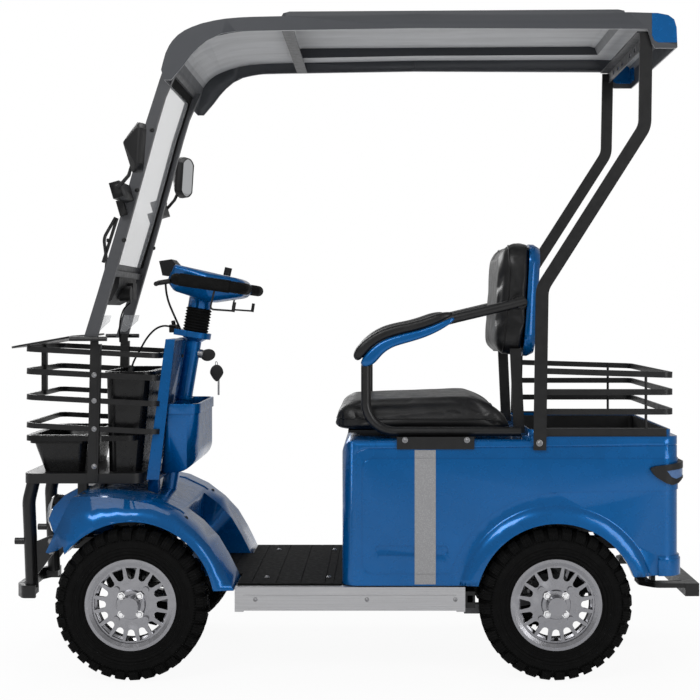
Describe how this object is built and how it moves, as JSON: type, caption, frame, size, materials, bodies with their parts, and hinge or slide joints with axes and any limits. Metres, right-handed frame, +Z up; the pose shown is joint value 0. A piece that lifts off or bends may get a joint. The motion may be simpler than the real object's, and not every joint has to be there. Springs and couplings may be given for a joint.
{
  "type": "mobility scooter",
  "caption": "Four-wheeled mobility scooter with a roof, windscreen, front basket, padded seat, rear cargo box and steering tiller.",
  "frame": {"origin": "On the floor below the middle of the whole machine", "axes": "+X forward, +Y to the rider's left, +Z up"},
  "size_m": [1.791, 0.8258, 1.702],
  "materials": {
    "black": "satin",
    "blue": "gloss",
    "plastic": "matte",
    "aluminium": "satin",
    "roof": "satin",
    "brace": "satin",
    "padding": "satin",
    "mat": "matte",
    "chrome": "polished",
    "clear": "gloss",
    "red": "gloss",
    "tyre": "matte",
    "spring": "satin",
    "cell": "matte"
  },
  "bodies": {
    "chassis": {"frame": "black", "deck_mat": "mat", "side_rails": "aluminium", "front_body": "blue", "leg_shield": "blue", "knee_bin": "blue", "column_tube": "blue", "headlamp": "chrome", "headlamp_lens": "clear", "front_bumper": "black", "basket_frame": "black", "basket_tubs": "plastic", "wind_shelf": "plastic", "rear_body": "blue", "cargo_liner": "plastic", "cargo_rack": "black", "side_stripes": "aluminium", "tail_lamps": "plastic", "tail_lenses": "red", "rear_bumper": "black", "seat_frame": "black", "seat_cushion": "padding", "back_cushion": "padding", "back_shell": "blue", "arm_frames": "black", "arm_pads": "padding", "arm_pad_bases": "blue", "roof_shell": "roof", "roof_corners": "blue", "roof_braces": "brace", "roof_posts": "black", "screen_frame": "roof", "screen_glass": "clear", "screen_gasket": "plastic", "screen_corners": "clear", "screen_clamps": "aluminium", "mirrors": "black", "mirror_glasses": "chrome", "wiper_unit": "plastic", "front_axle": "black", "rear_axle": "black", "shock_absorbers": "spring", "battery": "cell"},
    "tiller": {"steering_shaft": "black", "tiller_head": "blue", "tiller_grips": "plastic", "tiller_controls": "plastic"},
    "knuckle_left": {"knuckle_left": "black"},
    "knuckle_right": {"knuckle_right": "black"},
    "tie_rod": {"tie_rod": "aluminium"},
    "wheel_front_left": {"rim_front_left": "chrome", "tyre_front_left": "tyre"},
    "wheel_front_right": {"rim_front_right": "chrome", "tyre_front_right": "tyre"},
    "wheel_rear_left": {"rim_rear_left": "chrome", "tyre_rear_left": "tyre"},
    "wheel_rear_right": {"rim_rear_right": "chrome", "tyre_rear_right": "tyre"}
  },
  "joints": [
    {"name": "tiller_turn", "type": "hinge", "parent": "chassis", "child": "tiller", "pos_m": [0.437, 0, 0.854], "axis": [-0.165, 0, 0.9863], "range_deg": [-30, 30]},
    {"name": "kingpin_left", "type": "hinge", "parent": "chassis", "child": "knuckle_left", "pos_m": [0.551, 0.243, 0.192], "axis": [0, 0, 1], "range_deg": [-25, 25]},
    {"name": "kingpin_right", "type": "hinge", "parent": "chassis", "child": "knuckle_right", "pos_m": [0.551, -0.243, 0.192], "axis": [0, 0, 1], "range_deg": [-25, 25]},
    {"name": "tie_rod_pivot", "type": "hinge", "parent": "knuckle_left", "child": "tie_rod", "pos_m": [0.456, 0.229, 0.242], "axis": [0, 0, 1], "range_deg": [-28, 28]},
    {"name": "front_left_spin", "type": "hinge", "parent": "knuckle_left", "child": "wheel_front_left", "pos_m": [0.551, 0.285, 0.192], "axis": [0, 1, 0], "continuous": true},
    {"name": "front_right_spin", "type": "hinge", "parent": "knuckle_right", "child": "wheel_front_right", "pos_m": [0.551, -0.285, 0.192], "axis": [0, 1, 0], "continuous": true},
    {"name": "rear_left_spin", "type": "hinge", "parent": "chassis", "child": "wheel_rear_left", "pos_m": [-0.514, 0.285, 0.192], "axis": [0, 1, 0], "continuous": true},
    {"name": "rear_right_spin", "type": "hinge", "parent": "chassis", "child": "wheel_rear_right", "pos_m": [-0.514, -0.285, 0.192], "axis": [0, 1, 0], "continuous": true}
  ],
  "couplings": [
    {"joint": "kingpin_left", "follows": "tiller_turn", "ratio": 0.81},
    {"joint": "kingpin_right", "follows": "tiller_turn", "ratio": 0.81},
    {"joint": "tie_rod_pivot", "follows": "tiller_turn", "ratio": -0.8578}
  ]
}
